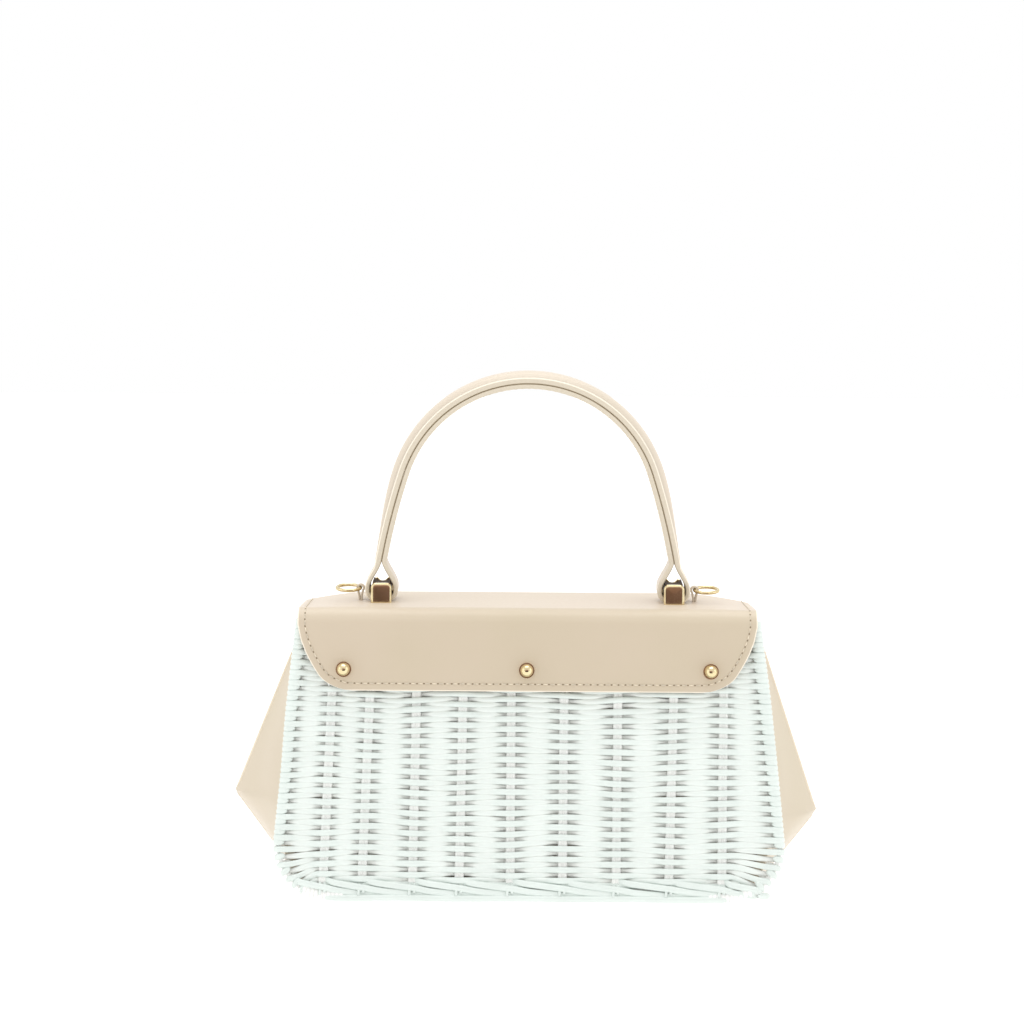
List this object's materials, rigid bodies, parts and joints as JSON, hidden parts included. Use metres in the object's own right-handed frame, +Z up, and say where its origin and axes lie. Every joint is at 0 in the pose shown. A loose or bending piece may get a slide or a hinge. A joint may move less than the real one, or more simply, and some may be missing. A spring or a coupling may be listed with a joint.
{
  "type": "basket box bag",
  "caption": "Box handbag of two woven cane panels with folded leather gussets, a studded leather flap, metal bridges and a padded arched handle.",
  "frame": {"origin": "on the ground, at the middle of the base", "axes": "+Z up, +X along the bag to the right as seen from its back, back panel towards -Y"},
  "size_m": [0.302, 0.1038, 0.2657],
  "materials": {
    "white_cane": "white lacquered willow cane, satin",
    "beige_leather": "smooth light beige calf leather, low sheen",
    "gusset_leather": "smooth light beige leather, low sheen",
    "base_leather": "leather over board",
    "flap_lining_leather": "matte beige split leather",
    "cotton_lining": "plain woven cotton",
    "handle_padding": "soft foam cord",
    "polished_brass": "polished pale gold plating",
    "plated_steel": "satin nickel plate"
  },
  "bodies": {
    "basket": {"back_weave": "white_cane", "back_stakes": "white_cane", "back_frame_rod": "white_cane", "back_foot_border": "white_cane", "back_top_binding": "gusset_leather", "front_weave": "white_cane", "front_stakes": "white_cane", "front_frame_rod": "white_cane", "front_foot_border": "white_cane", "front_top_binding": "gusset_leather", "gusset_left": "gusset_leather", "gusset_right": "gusset_leather", "base_panel": "base_leather", "lining": "cotton_lining", "flap_back": "beige_leather", "flap_back_lining": "flap_lining_leather", "stud_left": "polished_brass", "stud_centre": "polished_brass", "stud_right": "polished_brass", "stud_nut_left": "plated_steel", "stud_nut_centre": "plated_steel", "stud_nut_right": "plated_steel", "magnet_socket": "plated_steel", "magnet_socket_washer": "plated_steel"},
    "flap": {"flap_cover": "beige_leather", "flap_cover_lining": "flap_lining_leather", "bridge_left": "polished_brass", "bridge_right": "polished_brass", "bridge_backing_left": "plated_steel", "bridge_backing_right": "plated_steel", "bridge_screws": "plated_steel", "handle_outer": "beige_leather", "handle_inner": "beige_leather", "handle_core": "handle_padding", "ring_keeper_left": "beige_leather", "ring_keeper_right": "beige_leather", "magnet_button": "plated_steel"},
    "ring_left": {"ring_left": "polished_brass"},
    "ring_right": {"ring_right": "polished_brass"}
  },
  "joints": [
    {"name": "flap_hinge", "type": "hinge", "parent": "basket", "child": "flap", "pos_m": [0, -0.02986, 0.14555], "axis": [1, 0, 0], "range_deg": [0, 150]},
    {"name": "ring_left_swing", "type": "hinge", "parent": "flap", "child": "ring_left", "pos_m": [-0.086, 0, 0.153], "axis": [0, 1, 0], "range_deg": [0, 100]},
    {"name": "ring_right_swing", "type": "hinge", "parent": "flap", "child": "ring_right", "pos_m": [0.086, 0, 0.153], "axis": [0, -1, 0], "range_deg": [0, 100]}
  ]
}
